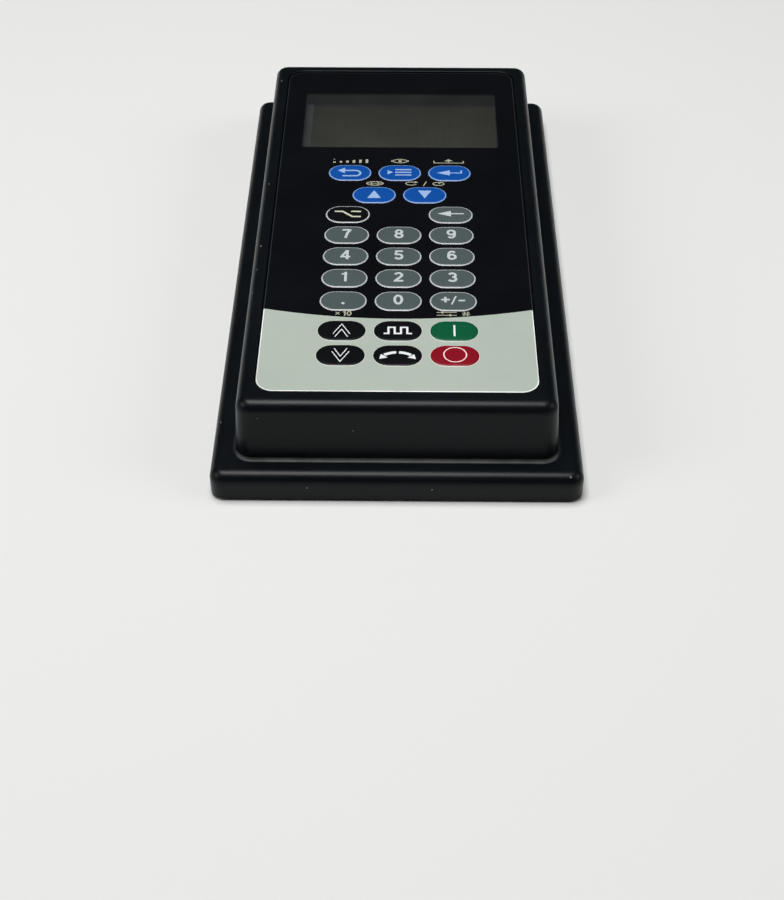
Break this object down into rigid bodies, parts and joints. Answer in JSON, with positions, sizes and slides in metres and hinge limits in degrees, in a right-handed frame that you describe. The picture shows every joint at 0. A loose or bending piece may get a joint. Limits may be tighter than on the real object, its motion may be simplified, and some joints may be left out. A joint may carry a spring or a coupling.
{
  "type": "drive keypad",
  "caption": "Panel-mount remote keypad for a motor drive: flanged black housing, display window, sprung membrane keys, sealed back with threaded inserts and a round cable socket.",
  "frame": {"origin": "under the middle of the keypad, on the plane that its panel gasket rests on", "axes": "+X to the user's right, +Y up the keypad towards the display, +Z out of its front"},
  "size_m": [0.093, 0.18, 0.025],
  "materials": {
    "housing_plastic": "fine moulded texture, black",
    "gasket_rubber": "soft black rubber",
    "insert_brass": "machined brass",
    "overlay_film": "printed film, semi-gloss",
    "key_film_blue": "printed film, blue",
    "key_film_grey": "printed film, slate grey",
    "key_film_black": "printed film, black",
    "key_film_green": "printed film, green",
    "key_film_red": "printed film, red",
    "spacer_film": "clear film",
    "dome_steel": "thin sprung steel",
    "circuit_film": "film with printed tracks",
    "lens_glass": "clear hard lens",
    "seal_foam": "closed foam",
    "bezel_steel": "folded sheet",
    "display_glass": "display glass, grey-green",
    "strip_rubber": "soft contact strip",
    "backlight_plastic": "milky light guide",
    "board_laminate": "green solder mask",
    "screw_steel": "zinc plated",
    "connector_plastic": "cream plastic",
    "chip_plastic": "moulded package",
    "can_metal": "drawn can",
    "capacitor_can": "drawn can",
    "passive_ceramic": "chip parts",
    "socket_plastic": "moulded socket",
    "socket_shell": "tinned sleeve",
    "contact_brass": "plated contacts",
    "plate_plastic": "moulded, black"
  },
  "bodies": {
    "housing": {"front_housing": "housing_plastic", "panel_gasket": "gasket_rubber", "threaded_inserts": "insert_brass", "overlay": "overlay_film", "key_spacer": "spacer_film", "snap_domes": "dome_steel", "switch_circuit": "circuit_film", "display_lens": "lens_glass", "display_seal": "seal_foam", "display_bezel": "bezel_steel", "display_glass": "display_glass", "contact_strips": "strip_rubber", "backlight": "backlight_plastic", "main_board": "board_laminate", "board_screws": "screw_steel", "tail_connector": "connector_plastic", "processor": "chip_plastic", "memory_chip": "chip_plastic", "link_chip": "chip_plastic", "regulator": "chip_plastic", "choke": "chip_plastic", "crystal": "can_metal", "capacitors": "capacitor_can", "chip_passives": "passive_ceramic", "socket_body": "socket_plastic", "socket_core": "socket_plastic", "socket_shield": "socket_shell", "socket_contacts": "contact_brass", "back_plate": "plate_plastic", "plate_screws": "screw_steel"},
    "key_escape": {"key_escape": "key_film_blue"},
    "key_select": {"key_select": "key_film_blue"},
    "key_enter": {"key_enter": "key_film_blue"},
    "key_up": {"key_up": "key_film_blue"},
    "key_down": {"key_down": "key_film_blue"},
    "key_alternate": {"key_alternate": "key_film_black"},
    "key_backspace": {"key_backspace": "key_film_grey"},
    "key_7": {"key_7": "key_film_grey"},
    "key_8": {"key_8": "key_film_grey"},
    "key_9": {"key_9": "key_film_grey"},
    "key_4": {"key_4": "key_film_grey"},
    "key_5": {"key_5": "key_film_grey"},
    "key_6": {"key_6": "key_film_grey"},
    "key_1": {"key_1": "key_film_grey"},
    "key_2": {"key_2": "key_film_grey"},
    "key_3": {"key_3": "key_film_grey"},
    "key_point": {"key_point": "key_film_grey"},
    "key_0": {"key_0": "key_film_grey"},
    "key_sign": {"key_sign": "key_film_grey"},
    "key_faster": {"key_faster": "key_film_black"},
    "key_jog": {"key_jog": "key_film_black"},
    "key_start": {"key_start": "key_film_green"},
    "key_slower": {"key_slower": "key_film_black"},
    "key_reverse": {"key_reverse": "key_film_black"},
    "key_stop": {"key_stop": "key_film_red"}
  },
  "joints": [
    {"name": "key_escape_press", "type": "slide", "parent": "housing", "child": "key_escape", "axis": [0, 0, -1], "range_m": [0, 0.0004], "stiffness_N_per_m": 4000, "deforming": ["snap_domes"]},
    {"name": "key_select_press", "type": "slide", "parent": "housing", "child": "key_select", "axis": [0, 0, -1], "range_m": [0, 0.0004], "stiffness_N_per_m": 4000, "deforming": ["snap_domes"]},
    {"name": "key_enter_press", "type": "slide", "parent": "housing", "child": "key_enter", "axis": [0, 0, -1], "range_m": [0, 0.0004], "stiffness_N_per_m": 4000, "deforming": ["snap_domes"]},
    {"name": "key_up_press", "type": "slide", "parent": "housing", "child": "key_up", "axis": [0, 0, -1], "range_m": [0, 0.0004], "stiffness_N_per_m": 4000, "deforming": ["snap_domes"]},
    {"name": "key_down_press", "type": "slide", "parent": "housing", "child": "key_down", "axis": [0, 0, -1], "range_m": [0, 0.0004], "stiffness_N_per_m": 4000, "deforming": ["snap_domes"]},
    {"name": "key_alternate_press", "type": "slide", "parent": "housing", "child": "key_alternate", "axis": [0, 0, -1], "range_m": [0, 0.0004], "stiffness_N_per_m": 4000, "deforming": ["snap_domes"]},
    {"name": "key_backspace_press", "type": "slide", "parent": "housing", "child": "key_backspace", "axis": [0, 0, -1], "range_m": [0, 0.0004], "stiffness_N_per_m": 4000, "deforming": ["snap_domes"]},
    {"name": "key_7_press", "type": "slide", "parent": "housing", "child": "key_7", "axis": [0, 0, -1], "range_m": [0, 0.0004], "stiffness_N_per_m": 4000, "deforming": ["snap_domes"]},
    {"name": "key_8_press", "type": "slide", "parent": "housing", "child": "key_8", "axis": [0, 0, -1], "range_m": [0, 0.0004], "stiffness_N_per_m": 4000, "deforming": ["snap_domes"]},
    {"name": "key_9_press", "type": "slide", "parent": "housing", "child": "key_9", "axis": [0, 0, -1], "range_m": [0, 0.0004], "stiffness_N_per_m": 4000, "deforming": ["snap_domes"]},
    {"name": "key_4_press", "type": "slide", "parent": "housing", "child": "key_4", "axis": [0, 0, -1], "range_m": [0, 0.0004], "stiffness_N_per_m": 4000, "deforming": ["snap_domes"]},
    {"name": "key_5_press", "type": "slide", "parent": "housing", "child": "key_5", "axis": [0, 0, -1], "range_m": [0, 0.0004], "stiffness_N_per_m": 4000, "deforming": ["snap_domes"]},
    {"name": "key_6_press", "type": "slide", "parent": "housing", "child": "key_6", "axis": [0, 0, -1], "range_m": [0, 0.0004], "stiffness_N_per_m": 4000, "deforming": ["snap_domes"]},
    {"name": "key_1_press", "type": "slide", "parent": "housing", "child": "key_1", "axis": [0, 0, -1], "range_m": [0, 0.0004], "stiffness_N_per_m": 4000, "deforming": ["snap_domes"]},
    {"name": "key_2_press", "type": "slide", "parent": "housing", "child": "key_2", "axis": [0, 0, -1], "range_m": [0, 0.0004], "stiffness_N_per_m": 4000, "deforming": ["snap_domes"]},
    {"name": "key_3_press", "type": "slide", "parent": "housing", "child": "key_3", "axis": [0, 0, -1], "range_m": [0, 0.0004], "stiffness_N_per_m": 4000, "deforming": ["snap_domes"]},
    {"name": "key_point_press", "type": "slide", "parent": "housing", "child": "key_point", "axis": [0, 0, -1], "range_m": [0, 0.0004], "stiffness_N_per_m": 4000, "deforming": ["snap_domes"]},
    {"name": "key_0_press", "type": "slide", "parent": "housing", "child": "key_0", "axis": [0, 0, -1], "range_m": [0, 0.0004], "stiffness_N_per_m": 4000, "deforming": ["snap_domes"]},
    {"name": "key_sign_press", "type": "slide", "parent": "housing", "child": "key_sign", "axis": [0, 0, -1], "range_m": [0, 0.0004], "stiffness_N_per_m": 4000, "deforming": ["snap_domes"]},
    {"name": "key_faster_press", "type": "slide", "parent": "housing", "child": "key_faster", "axis": [0, 0, -1], "range_m": [0, 0.0004], "stiffness_N_per_m": 4000, "deforming": ["snap_domes"]},
    {"name": "key_jog_press", "type": "slide", "parent": "housing", "child": "key_jog", "axis": [0, 0, -1], "range_m": [0, 0.0004], "stiffness_N_per_m": 4000, "deforming": ["snap_domes"]},
    {"name": "key_start_press", "type": "slide", "parent": "housing", "child": "key_start", "axis": [0, 0, -1], "range_m": [0, 0.0004], "stiffness_N_per_m": 4000, "deforming": ["snap_domes"]},
    {"name": "key_slower_press", "type": "slide", "parent": "housing", "child": "key_slower", "axis": [0, 0, -1], "range_m": [0, 0.0004], "stiffness_N_per_m": 4000, "deforming": ["snap_domes"]},
    {"name": "key_reverse_press", "type": "slide", "parent": "housing", "child": "key_reverse", "axis": [0, 0, -1], "range_m": [0, 0.0004], "stiffness_N_per_m": 4000, "deforming": ["snap_domes"]},
    {"name": "key_stop_press", "type": "slide", "parent": "housing", "child": "key_stop", "axis": [0, 0, -1], "range_m": [0, 0.0004], "stiffness_N_per_m": 4000, "deforming": ["snap_domes"]}
  ]
}
